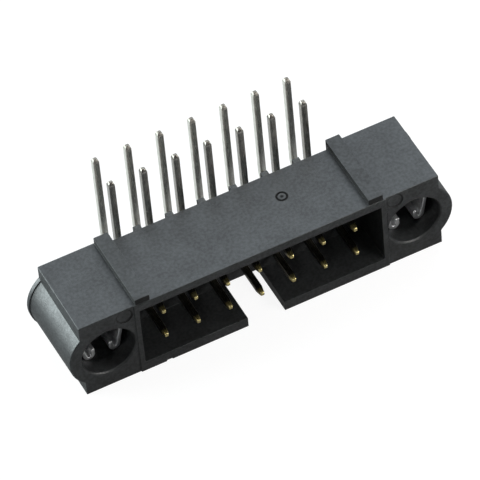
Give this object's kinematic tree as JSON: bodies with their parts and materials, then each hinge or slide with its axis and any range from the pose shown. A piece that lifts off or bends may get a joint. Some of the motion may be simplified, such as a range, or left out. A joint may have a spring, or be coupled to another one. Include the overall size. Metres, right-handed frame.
{
  "type": "rectangular board connector",
  "caption": "Right-angle shrouded pin connector for a board edge, with a polarising slot, plated pins bent into solder tails and a sprung latch clip in each round end bore.",
  "frame": {"origin": "middle of the overall width and depth, on the flat underside that it rests on", "axes": "+X along the contact rows; -Y towards the mating half, out of the mouth; +Z towards the circuit board, the way the contact tails point"},
  "size_m": [0.0244, 0.0084, 0.009],
  "materials": {
    "housing": "matte moulded, fine grain",
    "contact": "gold-plated pin, bright tin-plated tail",
    "latch_clip": "bright spring steel strip"
  },
  "bodies": {
    "root": {"housing": "housing", "upper_contact_1": "contact", "upper_contact_2": "contact", "upper_contact_3": "contact", "upper_contact_4": "contact", "upper_contact_5": "contact", "upper_contact_6": "contact", "upper_contact_7": "contact", "lower_contact_1": "contact", "lower_contact_2": "contact", "lower_contact_3": "contact", "lower_contact_4": "contact", "lower_contact_5": "contact", "lower_contact_6": "contact", "lower_contact_7": "contact", "left_latch_clip": "latch_clip", "right_latch_clip": "latch_clip"}
  },
  "joints": []
}
